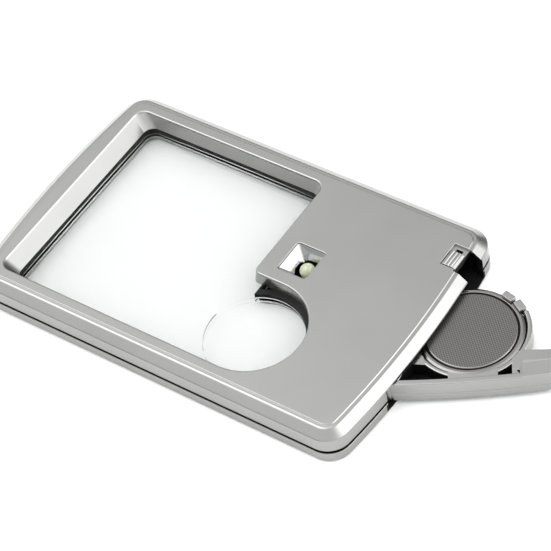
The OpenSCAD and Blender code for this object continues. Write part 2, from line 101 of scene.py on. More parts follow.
def add_bump(nodes, links, shader, height, strength, distance):
    bump = nodes.new("ShaderNodeBump")
    bump.inputs["Strength"].default_value = strength
    bump.inputs["Distance"].default_value = distance
    links.new(height, bump.inputs["Height"])
    links.new(bump.outputs["Normal"], shader.inputs["Normal"])


def surface(name, low, high, metallic, rough, grain, bump, shine=0.5):
    """A general finish: tone drifts slowly, roughness varies finely and the surface has a grain."""
    material, nodes, links, shader = node_material(name)
    tone = noise_at(nodes, links, TONE_SCALE, 3.0)
    links.new(ramp_between(nodes, links, tone, low, high), shader.inputs["Base Color"])
    fine = noise_at(nodes, links, grain, 3.0, 0.6)
    links.new(ranged(nodes, links, fine, *rough), shader.inputs["Roughness"])
    shader.inputs["Metallic"].default_value = metallic
    shader.inputs["Specular IOR Level"].default_value = shine
    add_bump(nodes, links, shader, fine, bump, GRAIN_DEPTH)
    return material


def clear_resin(name, tint, rough=0.0, ior=1.49, milk=0.0, painted_glow=0.0):
    """A clear plastic; milk is the share of light it scatters, and the last argument a faint emission in
    the tint's colour, which is painted light.
    """
    material, nodes, links, shader = node_material(name)
    haze = noise_at(nodes, links, 40.0, 2.0)
    pale = [c * 0.985 for c in tint]
    links.new(ramp_between(nodes, links, haze, pale, tint), shader.inputs["Base Color"])
    shader.inputs["Transmission Weight"].default_value = 1.0 - milk
    # The emission is painted light: a faint glow in the tint's colour, though the lamp is off
    shader.inputs["Emission Color"].default_value = (*tint, 1)
    shader.inputs["Emission Strength"].default_value = painted_glow
    shader.inputs["IOR"].default_value = ior
    shader.inputs["Roughness"].default_value = rough
    return material


# Scale of a wave texture whose bands are one unit apart
WAVES = 0.314


def woven_steel(name, low, high, pitch):
    """Steel pressed with a fine cross-hatched grip pattern of the given pitch, in metres."""
    material, nodes, links, shader = node_material(name)
    place_node = nodes.new("ShaderNodeTexCoord")
    height = None
    for turn in (45, -45):
        mapping = nodes.new("ShaderNodeMapping")
        mapping.inputs["Rotation"].default_value = (0, 0, math.radians(turn))
        links.new(place_node.outputs["Object"], mapping.inputs["Vector"])
        wave = nodes.new("ShaderNodeTexWave")
        wave.inputs["Scale"].default_value = WAVES / pitch
        links.new(mapping.outputs["Vector"], wave.inputs["Vector"])
        if height is None:
            height = wave.outputs["Fac"]
        else:
            join = nodes.new("ShaderNodeMath")
            join.operation = "MAXIMUM"
            links.new(height, join.inputs[0])
            links.new(wave.outputs["Fac"], join.inputs[1])
            height = join.outputs["Value"]
    # Colour follows the weave's height, lighter ridges and darker grooves: painted shade in the grooves
    # of one steel
    links.new(ramp_between(nodes, links, height, low, high, 0.55, 0.95), shader.inputs["Base Color"])
    shader.inputs["Metallic"].default_value = 0.85
    shader.inputs["Roughness"].default_value = 0.4
    add_bump(nodes, links, shader, height, 0.35, WEAVE_DEPTH)
    return material


SILVER = surface(
    "silver_lacquer", (0.305, 0.305, 0.297), (0.325, 0.325, 0.317), 0.95, (0.2, 0.25), 2500.0, 0.12
)
# Paler and less mirror-like, for the far wall of the window only: a lighter copy of the silver lacquer,
# painted light that brightens that wall
WALL_PAINTED_LIGHT = surface(
    "silver_lacquer_painted_light", (0.36, 0.36, 0.35), (0.39, 0.39, 0.38), 0.55, (0.35, 0.45), 2500.0, 0.12
)
BLACK = surface("black_plastic", (0.003,) * 3, (0.006,) * 3, 0.0, (0.5, 0.6), 1500.0, 0.2, shine=0.12)
RUBBER = surface("black_rubber", (0.003,) * 3, (0.006,) * 3, 0.0, (0.45, 0.55), 1200.0, 0.2, shine=0.25)
BRIGHT = surface("bright_metal", (0.5,) * 3, (0.54,) * 3, 1.0, (0.06, 0.12), 900.0, 0.05)
BRASS = surface("contact_brass", (0.62, 0.46, 0.2), (0.7, 0.54, 0.26), 1.0, (0.2, 0.35), 1500.0, 0.1)
STEEL = surface("pin_steel", (0.5, 0.5, 0.51), (0.58, 0.58, 0.59), 1.0, (0.2, 0.3), 2000.0, 0.1)
SCREW = surface("screw_steel", (0.05,) * 3, (0.08,) * 3, 0.9, (0.3, 0.45), 2000.0, 0.1)
CELL = surface("cell_steel", (0.2, 0.19, 0.188), (0.235, 0.224, 0.22), 1.0, (0.2, 0.3), 2500.0, 0.15)
TINNED = surface("tinned_wire", (0.6,) * 3, (0.68,) * 3, 1.0, (0.25, 0.35), 2000.0, 0.1)
PHOSPHOR = surface("lamp_phosphor", (0.75, 0.68, 0.12), (0.85, 0.8, 0.2), 0.0, (0.4, 0.6), 1500.0, 0.1)
ACRYLIC = clear_resin("clear_acrylic", (0.99, 0.995, 0.99))
CAP = woven_steel("cell_cap_steel", (0.075, 0.07, 0.068), (0.17, 0.163, 0.16), 0.00042)
# The lamp is unlit: its faint glow is painted light standing in for bright reflections in the dome
RESIN = clear_resin("lamp_resin", (0.95, 1.0, 0.76), 0.02, 1.53, milk=0.35, painted_glow=0.02)

FINISH = {
    "front_cover": SILVER, "rear_cover": SILVER, "bifocal_lens": ACRYLIC, "lens_gasket": RUBBER,
    "led_reflector": BRIGHT, "led_body": RESIN, "led_phosphor": PHOSPHOR, "led_leads": TINNED,
    "switch_slider": SILVER, "switch_carrier": BLACK, "switch_contact": BRASS,
    "positive_contact": BRASS, "negative_contact": BRASS, "feed_contact": BRASS,
    "battery_drawer": SILVER, "drawer_pin": STEEL, "cell_can": CELL, "cell_gasket": BLACK,
    "cell_cap": CELL, "cover_screws": SCREW,
}

for name, node in frame["nodes"].items():
    node.data.materials.clear()
    node.data.materials.append(FINISH[name])

# ---- Sizes, in millimetres ----------------------------------------------------------------

case_low, case_high = (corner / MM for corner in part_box("front_cover"))
LENGTH, WIDTH, TOP = case_high.x - case_low.x, case_high.y - case_low.y, case_high.z
PARTING = case_low.z
BULGE, CORNER = 1.9, 4.6
WALL, SKIN = 1.3, 1.2
CEILING = TOP - SKIN
CREASE = TOP - 1.6
REAR_TOP = 2.4
END_RADIUS = ((WIDTH / 2) ** 2 + BULGE ** 2) / (2 * BULGE)
FOOT = 4.4
SILL = 0.75
SCREWS = [(-39, -24.2), (-39, 24.2), (37.4, -23), (37.6, 23.2)]
# The doorway of the drawer, and a reach well past the case
DOOR_NEAR, DOOR_FAR = -12.3, 21.3
BEYOND = 50
# The window's left, right, near and far edges at the top, and how far its walls slope in
WINDOW = (-37.2, 6.5, -22.4, 22.4)
LEFT_SLOPE, SIDE_SLOPE = 2.3, 0.7
TAB = -1.5
# The lens: flange, middle plane, and the round strong lens
LENS_FOOT, LENS_HEAD, LENS_MIDDLE = 1.5, 3.0, 2.25
INSET = Vector((13.2, -11.95))
INSET_RADIUS = 9.45
# The lamp, its recess and its dish
RECESS_X, RECESS_Y = 13.1, 4.75
LAMP_X, LAMP_Z, LAMP_RADIUS, LAMP_TILT = 14.0, 5.0, 1.5, 20
DISH_FOOT, DISH_TOP, DISH_RADIUS = 4.9, 7.25, 2.4
# The switch's slot and knob
SLOT_LEFT, SLOT_NEAR, SLOT_FAR, SLOT_FLOOR = 35.9, 15.9, 21.05, 7.0
KNOB_LEFT, KNOB_RIGHT, KNOB_NEAR, KNOB_FAR = 36.0, 38.85, 16.05, 19.55
KNOB_MIDDLE = 37.4
RIDGE = 0.12
# The drawer and the cell, in the drawer's shut place
CELL_X, CELL_Y = 30.1, 6.4
TRAY, TRAY_FLOOR, RING_TOP, BAR_TOP = 1.35, 1.95, 4.9, 5.45
RING_IN, RING_OUT = 10.1, 10.95
BAR_FOOT, BAR_WALL, BAR_FAR = 0.95, 1.2, 20.9
GROOVE = 2.6
THUMB_LEFT, THUMB_NEAR, THUMB_FAR = 39.3, 15.6, 20.7
ARM = [(35.4, -1.9), (35.4, -4.1), (36.9, -7.4), (39.3, -8.5), (40.9, -6.2), (37.4, -3.8), (37.7, -1.5)]
FLOOR = [(35.4, -1.9), (35.4, -4.1), (36.9, -7.4), (39.3, -8.5), (60, -8.5), (60, 20.9), (35.3, 20.9)]
# Each hook: angle about the cell, half width, inner and outer reach, top
HOOKS = ((136, 1.2, 9.1, 10.5, 5.15), (119, 1.2, 9.3, 10.8, 5.1))
CELL_FOOT = 2.0
CELL_TOP = CELL_FOOT + 2.5
PIVOT = Vector([j for j in frame["joints"] if j["name"] == "drawer_pivot"][0]["pos_m"]) / MM
SHUT = 59
# Points on a corner and on an end of the outline
CORNER_STEPS, END_STEPS = 14, 36

# ---- Mesh helpers -------------------------------------------------------------------------


def arc(centre, radius, start, stop, steps):
    """Points on an arc, angles in degrees, both ends included."""
    angles = [math.radians(start + (stop - start) * i / steps) for i in range(steps + 1)]
    return [(centre[0] + radius * math.cos(a), centre[1] + radius * math.sin(a)) for a in angles]


def plan(inset):
    """The case's outline, drawn in by inset, counter-clockwise."""
    corner_y = WIDTH / 2 - CORNER
    end_centre = LENGTH / 2 - END_RADIUS
    sweep = math.degrees(math.asin(corner_y / (END_RADIUS - CORNER)))
    corner_x = end_centre + (END_RADIUS - CORNER) * math.cos(math.radians(sweep))
    half = arc((corner_x, -corner_y), CORNER - inset, -90, -sweep, CORNER_STEPS)
    half += arc((end_centre, 0), END_RADIUS - inset, -sweep, sweep, END_STEPS)[1:-1]
    half += arc((corner_x, corner_y), CORNER - inset, sweep, 90, CORNER_STEPS)
    return half + [(-x, -y) for x, y in half]


def depth_in(spot):
    """How far a point lies inside the case's outline."""
    x, y = abs(spot.x), abs(spot.y)
    corner_y = WIDTH / 2 - CORNER
    end_centre = LENGTH / 2 - END_RADIUS
    corner_x = end_centre + math.sqrt((END_RADIUS - CORNER) ** 2 - corner_y ** 2)
    if y > corner_y and x > corner_x:
        return CORNER - math.hypot(x - corner_x, y - corner_y)
    return min(WIDTH / 2 - y, END_RADIUS - math.hypot(x - end_centre, y))


def rounded(points, steps=6, closed=True):
    """A polygon of (x, y, radius) corners with each corner turned into an arc of that radius."""
    out = []
    count = len(points)
    for i, (x, y, radius) in enumerate(points):
        here = Vector((x, y))
        end = not closed and i in (0, count - 1)
        if radius <= 0 or end:
            out.append((x, y))
            continue
        a = (Vector(points[i - 1][:2]) - here).normalized()
        b = (Vector(points[(i + 1) % count][:2]) - here).normalized()
        half = a.angle(b) / 2
        centre = here + (a + b).normalized() * radius / math.sin(half)
        start, stop = (here + v * radius / math.tan(half) - centre for v in (a, b))
        turn = start.angle_signed(stop)
        for k in range(steps + 1):
            spoke = start.copy()
            spoke.rotate(Matrix.Rotation(-turn * k / steps, 2))
            out.append(tuple(centre + spoke))
    return out


def new_object(name, bm, material):
    """Puts a finished bmesh into the scene as an object of one material."""
    bmesh.ops.recalc_face_normals(bm, faces=bm.faces)
    mesh = bpy.data.meshes.new(name)
    bm.to_mesh(mesh)
    bm.free()
    obj = bpy.data.objects.new(name, mesh)
    bpy.context.scene.collection.objects.link(obj)
    mesh.materials.append(material)
    return obj


def loft(name, rings, material=SILVER, around=False):
    """A solid through rings of equal length; each ring is a list of (x, y, z) in millimetres."""
    bm = bmesh.new()
    loops = [[bm.verts.new(Vector(p) * MM) for p in ring] for ring in rings]
    count = len(rings[0])
    pairs = list(zip(loops, loops[1:]))
    if around:
        pairs.append((loops[-1], loops[0]))
    for low, high in pairs:
        for i in range(count):
            k = (i + 1) % count
            bm.faces.new((low[i], low[k], high[k], high[i]))
    if not around:
        bm.faces.new(list(reversed(loops[0])))
        bm.faces.new(loops[-1])
    return new_object(name, bm, material)


def level(points, z):
    """Plan points lifted to height z."""
    return [(x, y, z) for x, y in points]


def plan_solid(name, path, material=SILVER, around=False):
    """The case's outline swept through a path of (inset, z)."""
    return loft(name, [level(plan(inset), z) for inset, z in path], material, around)


def prism(name, points, low, high, material=SILVER):
    """An upright solid of one plan between two heights."""
    return loft(name, [level(points, low), level(points, high)], material)


def turned(name, profile, centre, material, segments):
    """A body turned about a vertical axis from (radius, z) points; radius 0 lies on the axis."""
    bm = bmesh.new()
    rings = []
    for radius, z in profile:
        if radius < 1e-6:
            rings.append([bm.verts.new(Vector((centre[0], centre[1], z)) * MM)])
        else:
            spots = arc(centre, radius, 0, 360, segments)[:-1]
            rings.append([bm.verts.new(Vector((x, y, z)) * MM) for x, y in spots])
    pairs = list(zip(rings, rings[1:]))
    if len(rings[0]) > 1:
        pairs.append((rings[-1], rings[0]))
    for low, high in pairs:
        for i in range(segments):
            k = (i + 1) % segments
            corners = [low[i % len(low)], low[k % len(low)], high[k % len(high)], high[i % len(high)]]
            unique = list(dict.fromkeys(corners))
            if len(unique) > 2:
                bm.faces.new(unique)
    return new_object(name, bm, material)


def soft_box(name, low, high, radius, material=SILVER):
    """A box with all its edges rounded."""
    bm = bmesh.new()
    bmesh.ops.create_cube(bm, size=1.0)
    low, high = Vector(low) * MM, Vector(high) * MM
    for v in bm.verts:
        v.co = Vector([low[i] + (v.co[i] + 0.5) * (high[i] - low[i]) for i in range(3)])
    if radius > 0:
        bmesh.ops.bevel(
            bm, geom=bm.edges[:], offset=radius * MM, segments=3, affect="EDGES", profile=0.5
        )
    return new_object(name, bm, material)


def carve(body, tools, operation="DIFFERENCE"):
    """Applies each tool to the body by boolean, with the tool's own material, and removes it."""
    for tool in tools:
        modifier = body.modifiers.new("carve", "BOOLEAN")
        modifier.operation = operation
        modifier.solver = "EXACT"
        modifier.object = tool
        modifier.material_mode = "TRANSFER"
        settle(body)
        bpy.data.objects.remove(tool)


def settle(obj):
    """Applies the object's modifiers to its mesh."""
    bpy.context.view_layer.update()
    graph = bpy.context.evaluated_depsgraph_get()
    mesh = bpy.data.meshes.new_from_object(obj.evaluated_get(graph))
    obj.modifiers.clear()
    obj.data = mesh


def paint(obj, material, test):
    """Gives the faces whose middle, in millimetres, and normal pass the test another material."""
    mesh = obj.data
    names = [m.name for m in mesh.materials]
    if material.name not in names:
        mesh.materials.append(material)
        names.append(material.name)
    index = names.index(material.name)
    for face in mesh.polygons:
        if test(face.center / MM, face.normal):
            face.material_index = index


def tidy(obj, angle=28):
    """Merges doubled points, then shades smooth up to an angle with flat faces kept flat."""
    bm = bmesh.new()
    bm.from_mesh(obj.data)
    bmesh.ops.remove_doubles(bm, verts=bm.verts, dist=0.002 * MM)
    bmesh.ops.dissolve_degenerate(bm, edges=bm.edges, dist=0.001 * MM)
    limit = math.radians(angle)
    for face in bm.faces:
        face.smooth = True
    for edge in bm.edges:
        edge.smooth = len(edge.link_faces) == 2 and edge.calc_face_angle(0) < limit
    bm.to_mesh(obj.data)
    bm.free()
    modifier = obj.modifiers.new("flat_faces", "WEIGHTED_NORMAL")
    modifier.keep_sharp = True
    modifier.weight = 80
    settle(obj)


def place(obj, body, slot, node):
    """Puts a piece on its body in the place of a CAD node, which it hides; slot is not used."""
    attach(obj, body)
    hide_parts(node)


def swung_open(obj):
    """Turns a piece drawn in the drawer's shut place to its open one."""
    centre = Matrix.Translation(PIVOT * MM)
    turn = Matrix.Rotation(math.radians(-SHUT), 4, "Z")
    obj.data.transform(centre @ turn @ centre.inverted())


# ---- Case ---------------------------------------------------------------------------------


def window_outline(z, flare=0.0):
    """The window and the round part beside the lamp at height z, walls sloping in downwards."""
    depth = max(0.0, min(1.0, (TOP - z) / (TOP - FOOT)))
    slope = SIDE_SLOPE * depth
    left, right = WINDOW[0] + LEFT_SLOPE * depth - flare, WINDOW[1] - slope + flare
    near, far = WINDOW[2] + slope - flare, WINDOW[3] - slope + flare
    tab = TAB + flare
    radius = (tab - near) / 2
    end = INSET.x + radius
    corner = 2.2 + flare
    return rounded([
        (left, near, corner), (end, near, radius * 0.999), (end, tab, radius * 0.999),
        (right, tab, 1.4 - flare), (right, far, corner), (left, far, corner),
    ], 20)


def rim(radius):
    """(height, flare) pairs of the rounded rim of an opening in the top face."""
    steps = 5
    turns = [math.radians(90 * i / steps) for i in range(steps + 1)]
    return [
        (TOP + 0.002 - radius * (1 - math.sin(a)), radius * (1 - math.cos(a))) for a in turns
    ]


def lens_outline(outset):
    """The rectangular lens joined to the round one; outset grows the clear opening."""
    left, far, right = -34.9 - outset, 21.7 + outset, 7.9 + outset
    reach = 9.6 + outset
    half = math.degrees(math.acos((right - INSET.x) / reach))
    meeting = INSET.y + math.sqrt(reach ** 2 - (right - INSET.x) ** 2)
    round_part = [(x, y, 0) for x, y in arc(INSET, reach, -90, half - 8, 40)]
    return rounded(
        [(left, far, 2.2), (left, INSET.y - reach, 2.2)] + round_part
        + [(right, meeting + 0.25, 0.55), (right, far, 2.2)], 8
    )


def make_front():
    """The upper shell: the outline's profile, less its inside, window, recess, slot and doorway."""
    shell = plan_solid("front_shell", rounded([
        (0.6, PARTING, 0), (0, PARTING, 0.12), (0, CREASE, 0.5), (1.88, TOP - 0.15, 0.8),
        (2.5, TOP - 0.15, 0.12), (2.66, TOP, 0.2), (3.3, TOP, 0),
    ], 6, closed=False))
    cavity = plan_solid("cavity", [(WALL, 2), (WALL, CEILING)], BLACK)
    keep = [
        loft("window_wall", [
            level(rounded([
                (-38.3, -23.5, 2.5), (24.75, -23.5, 11.4), (24.75, -0.4, 11.4), (7.6, -0.4, 0.3),
                (7.6, 23.5, 2.5), (-38.3, 23.5, 2.5)], 10), z) for z in (FOOT, TOP)
        ], BLACK),
        soft_box("switch_plate", (35.3, 15.3, 5.95), (38.95, 21.65, TOP), 0, BLACK),
        turned("pivot_boss", [(0, 5.65), (2.2, 5.65), (2.2, TOP), (0, TOP)], PIVOT, BLACK, 48),
    ]
    carve(cavity, keep)
    rebate = plan_solid("rebate", [(0.6, 2), (0.6, 4.1)], BLACK)
    window = loft("window", [level(window_outline(3.8), 3.8), level(window_outline(FOOT), FOOT)] + [
        level(window_outline(z, flare), z) for z, flare in rim(0.32)
    ] + [level(window_outline(TOP, 0.32), TOP + 1)])
    # A paler, less mirror-like copy of the lacquer for the far wall only, chosen to match its tone:
    # painted light on that wall
    paint(window, WALL_PAINTED_LIGHT, lambda middle, _: middle.y > 20 and middle.z < TOP - 0.35)
    lamp = loft("lamp_recess", [
        level(lamp_outline(-flare), z) for z, flare in [(CEILING - 0.1, 0)] + rim(0.22)
    ] + [level(lamp_outline(-0.22), TOP + 1)])
    slot = loft("slot", [
        level(slot_outline(flare), z) for z, flare in [(SLOT_FLOOR, 0)] + rim(0.15)
    ] + [level(slot_outline(0.15), TOP + 1)])
    track = soft_box("track", (36.7, 16.6, 5), (38.1, 20.4, 7.2), 0, BLACK)
    notch = soft_box("notch", (38.94, 15.35, CREASE - 0.5), (BEYOND, 21, 12), 0, BLACK)
    door = soft_box("door", (39.15, DOOR_NEAR, 0), (BEYOND, DOOR_FAR, 5.75), 0, BLACK)
    carve(shell, [cavity, rebate, window, lamp, slot, track, notch, door])
    tidy(shell)
    place(shell, "case", "silver_lacquer", "front_cover")


def lamp_outline(inset=0.0):
    """The lamp recess in plan, drawn in by inset."""
    x, y = 3.1 - inset, 3.45 - inset
    corner = max(0.1, 0.5 - inset)
    return rounded([
        (RECESS_X - x, RECESS_Y - y, corner), (RECESS_X + x, RECESS_Y - y, corner),
        (RECESS_X + x, RECESS_Y + y, corner), (RECESS_X - x, RECESS_Y + y, corner),
    ], 8)


def slot_outline(flare):
    """The switch's slot in plan; its right end runs out into the notch."""
    corner, right = 0.15 + flare, 39.6
    return rounded([
        (SLOT_LEFT - flare, SLOT_NEAR - flare, corner), (right, SLOT_NEAR - flare, 0.1),
        (right, SLOT_FAR + flare, 0.1), (SLOT_LEFT - flare, SLOT_FAR + flare, corner),
    ], 6)


def make_rear():
    """The lower shell: floor, lens seat and rib, screw bosses, and a way for the drawer's bar."""
    shell = plan_solid("rear_shell", rounded([
        (1.5, 0, 0), (0, 0, 0.55), (0, REAR_TOP, 0.12), (0.7, REAR_TOP, 0), (0.7, 3.9, 0.1),
        (1.6, 3.9, 0),
    ], 6, closed=False))
    cavity = plan_solid("cavity", [(WALL, SKIN), (WALL, 6)])
    seat = prism("seat", lens_outline(1.9), 0, 1.5)
    rib = prism("rib", lens_outline(2.6), 0, 3.9)
    carve(rib, [prism("rib_inside", lens_outline(1.9), -1, 6)])
    carve(cavity, [seat, rib])
    lower_rim = [(TOP - height, flare) for height, flare in reversed(rim(0.3))]
    opening = loft("opening", [
        level(lens_outline(flare), z) for z, flare in [(-1, 0.3)] + lower_rim + [(2.5, 0)]
    ])
    path = prism("bar_path", plan(WALL + 0.15), -2, 9)
    path_block = soft_box("path_block", (36.35, DOOR_NEAR, SILL), (BEYOND, DOOR_FAR, 8), 0, BLACK)
    carve(path_block, [path])
    relief = turned("relief", [(1.65, SILL), (3.7, SILL), (3.7, 1.7), (1.65, 1.7)], PIVOT, BLACK, 64)
    carve(relief, [soft_box("relief_side", (PIVOT.x + 0.3, -20, -2), (60, 10, 3), 0)], "INTERSECT")
    carve(shell, [cavity, opening, path_block, relief])
    bosses = [
        turned("boss", [(0, 1), (1.35, 1), (1.35, 4.05), (0, 4.05)], spot, SILVER, 48)
        for spot in SCREWS
    ]
    carve(shell, bosses, "UNION")
    holes = [
        turned("hole", [(0, -1), (1.3, -1), (1.3, 0.9), (0.8, 0.9), (0.8, 6), (0, 6)], spot, BLACK, 48)
        for spot in SCREWS
    ]
    carve(shell, holes)

    def hidden(middle, normal):
        """Faces inside the closed case, which show only as a dark gap."""
        inside = depth_in(middle) > 1.2
        by_window = middle.x < 24 and middle.z < 1.48 and abs(normal.z) < 0.9
        door = middle.x > 36 and -12.4 < middle.y < 21.4 and middle.z > 0.5
        return middle.z > REAR_TOP - 0.02 or (inside and middle.z > 0.4 and not by_window) or door

    paint(shell, BLACK, hidden)
    tidy(shell)
    place(shell, "case", "silver_lacquer", "rear_cover")


# ---- Lens ---------------------------------------------------------------------------------


def bulging(name, half_thickness, rise, reach, centre):
    """A lens turned from two spherical faces about the lens's middle plane."""
    rings = 40
    radius = (reach ** 2 + rise ** 2) / (2 * rise)
    widest = math.asin(reach / radius)
    face = []
    for i in range(rings + 1):
        a = widest * i / rings
        face.append((radius * math.sin(a), half_thickness + rise - radius * (1 - math.cos(a))))
    profile = [(r, LENS_MIDDLE + h) for r, h in face]
    profile += [(r, LENS_MIDDLE - h) for r, h in reversed(face)]
    return turned(name, profile, centre, ACRYLIC, 160)


def make_lens():
    """The one clear moulding: a flange, the reading lens, the strong lens and the groove between."""
    edge = rounded([
        (1.0, LENS_FOOT, 0), (1.7, LENS_FOOT, 0.15), (1.7, LENS_HEAD, 0.15), (1.0, LENS_HEAD, 0),
    ], 4, False)
    flange = loft("lens", [level(lens_outline(outset), z) for outset, z in edge], ACRYLIC)
    reading = bulging("reading", 0.75, 1.0, 30, (-14.55, 0))
    frame_shape = rounded([
        (-34.8, -21.6, 2.2), (7.8, -21.6, 2.2), (7.8, 21.6, 2.2), (-34.8, 21.6, 2.2)], 8)
    carve(reading, [prism("reading_edge", frame_shape, -1, 8, ACRYLIC)], "INTERSECT")
    inset = bulging("inset", 1.3, 0.5, INSET_RADIUS, INSET)
    carve(flange, [reading, inset], "UNION")
    notch = turned("notch", [(9.3, 3.65), (INSET_RADIUS, 3.25), (9.6, 3.65)], INSET, ACRYLIC, 160)
    reach = [tuple(INSET)] + arc(INSET, 14, 172, 226, 6)
    carve(notch, [prism("notch_reach", reach, 0, 8, ACRYLIC)], "INTERSECT")
    carve(flange, [notch])
    tidy(flange)
    place(flange, "case", "clear_acrylic", "bifocal_lens")


# ---- Lamp ---------------------------------------------------------------------------------


def make_reflector():
    """The bright block under the recess: a collar, a dish from square to round and a well whose walls are
    painted black as painted shade.
    """
    block = soft_box("reflector", (9.2, 0.5, 4.6), (17.0, 9.0, 6.28), 0.1, BRIGHT)
    collar = loft("collar", [
        level(lamp_outline(0.04), 5), level(lamp_outline(0.04), DISH_TOP - 0.04),
        level(lamp_outline(0.08), DISH_TOP),
    ], BRIGHT)
    carve(block, [collar], "UNION")
    mouth = lamp_outline(0.14)
    bowl = []
    for x, y in mouth:
        away = Vector((x - LAMP_X, y - RECESS_Y)).normalized() * DISH_RADIUS
        bowl.append((LAMP_X + away.x, RECESS_Y + away.y))
    slopes = []
    for t in (0, 0.25, 0.5, 0.75, 1):
        between = [(b[0] + (m[0] - b[0]) * t, b[1] + (m[1] - b[1]) * t) for m, b in zip(mouth, bowl)]
        slopes.append(level(between, DISH_FOOT + (DISH_TOP - DISH_FOOT) * t))
    dish = loft("dish", [level(bowl, 4.85)] + slopes + [level(mouth, TOP + 1)], BRIGHT)
    carve(block, [dish])
    # The well's walls take the black tool's material: painted shade for the dark ring round the lamp
    well = turned("well", [(0, 4), (2.38, 4), (2.42, 5.3), (0, 5.3)], (LAMP_X, RECESS_Y), BLACK, 64)
    carve(block, [well])
    tidy(block, 40)
    place(block, "case", "bright_metal", "led_reflector")


def make_lamp():
    """The lamp's clear body with its flange and dome, hollow for the emitting spot, and tilted."""
    turns = [math.radians(a) for a in range(0, 91, 6)]
    dome = [(LAMP_RADIUS * math.cos(a), LAMP_RADIUS * math.sin(a)) for a in turns]
    flange = [(1.0, -2.5, 0), (1.8, -2.5, 0.1), (1.8, -2.0, 0.1), (LAMP_RADIUS, -2.0, 0)]
    profile = [(0, -2.5)] + rounded(flange, 3, False) + dome[:-1] + [(0, LAMP_RADIUS)]
    body = turned("lamp", profile, (0, 0), RESIN, 64)
    cup = turned("cup", [(0, -1.6), (0.8, -1.6), (0.8, -1.0), (0, -1.0)], (0, 0), RESIN, 32)
    carve(body, [cup])
    tilt = Matrix.Rotation(math.radians(-LAMP_TILT), 4, "Y")
    body.data.transform(Matrix.Translation(Vector((LAMP_X, RECESS_Y, LAMP_Z)) * MM) @ tilt)
    tidy(body, 40)
    place(body, "case", "lamp_resin", "led_body")


# ---- Switch -------------------------------------------------------------------------------


def make_knob():
    """The ridged knob, a profile drawn along Y with softened ends, on its stem."""
    low, face = SLOT_FLOOR + 0.05, TOP - RIDGE
    corners = [(KNOB_LEFT, low, 0), (KNOB_LEFT, face, 0.12)]
    for i in range(3):
        start = 36.15 + i * 0.72
        corners += [
            (start + 0.08, face, 0.06), (start + 0.2, TOP, 0.1), (start + 0.48, TOP, 0.1),
            (start + 0.6, face, 0.06),
        ]
    corners += [(38.42, face, 0.1), (KNOB_RIGHT, low + 0.08, 0.04), (KNOB_RIGHT, low, 0)]
    outline = rounded(corners, 4)
    soft = 0.12

    def ring(y, shrink):
        """The profile at y, drawn in towards the middle of the knob's foot."""
        keep = 1 - shrink
        return [(KNOB_MIDDLE + (x - KNOB_MIDDLE) * keep, y, low + (z - low) * keep) for x, z in outline]

    knob = loft("knob", [
        ring(KNOB_NEAR, 0.06), ring(KNOB_NEAR + soft * 0.3, 0.02), ring(KNOB_NEAR + soft, 0),
        ring(KNOB_FAR - soft, 0), ring(KNOB_FAR - soft * 0.3, 0.02), ring(KNOB_FAR, 0.06),
    ])
    stem = soft_box("stem", (36.9, 16.9, 5.35), (37.9, 18.7, 7.1), 0)
    carve(knob, [stem], "UNION")
    tidy(knob, 35)
    place(knob, "switch", "silver_lacquer", "switch_slider")


# ---- Drawer -------------------------------------------------------------------------------


def about_cell(name, profile, segments):
    """A silver body turned about the cell's axis."""
    return turned(name, profile, (CELL_X, CELL_Y), SILVER, segments)


def wedge(start, stop):
    """A wedge of the plan between two angles about the cell."""
    return [(CELL_X, CELL_Y)] + arc((CELL_X, CELL_Y), 22, start, stop, 4)


def make_bar():
    """The curved outer bar with its groove, cut back at the heel."""
    bar = plan_solid("drawer", rounded([
        (0.05, BAR_FOOT, 0.2), (0.05, GROOVE, 0.06), (0.17, GROOVE + 0.08, 0.03),
        (0.17, GROOVE + 0.17, 0.03), (0.05, GROOVE + 0.25, 0.06), (0.05, BAR_TOP, 0.2),
        (BAR_WALL, BAR_TOP, 0.15), (BAR_WALL, BAR_FOOT, 0.1),
    ], 4), around=True)
    carve(bar, [soft_box("reach", (37, PIVOT.y, -1), (BEYOND, BAR_FAR, 9), 0.15)], "INTERSECT")
    carve(bar, [soft_box("heel", (37, -12, -1), (BEYOND, PIVOT.y + 0.6, TRAY), 0)])
    return bar


def make_thumb():
    """The raised thumb piece and what fills the bar under it."""
    thumb = plan_solid("thumb", rounded([
        (0.6, 4.8, 0), (0, 4.8, 0), (0, CREASE, 0.45), (1.9, TOP - 0.12, 0.2), (3.6, TOP - 0.05, 0),
    ], 6, closed=False))
    reach = soft_box("thumb_reach", (THUMB_LEFT, THUMB_NEAR, 3), (BEYOND, THUMB_FAR, TOP - 0.05), 0.18)
    carve(thumb, [reach], "INTERSECT")
    under = plan_solid("under", [(1.05, TRAY), (1.05, BAR_TOP)])
    below = soft_box(
        "under_reach", (THUMB_LEFT, THUMB_NEAR - 0.5, 0), (BEYOND, THUMB_FAR, BAR_TOP - 0.1), 0.1
    )
    carve(under, [below], "INTERSECT")
    return [thumb, under]


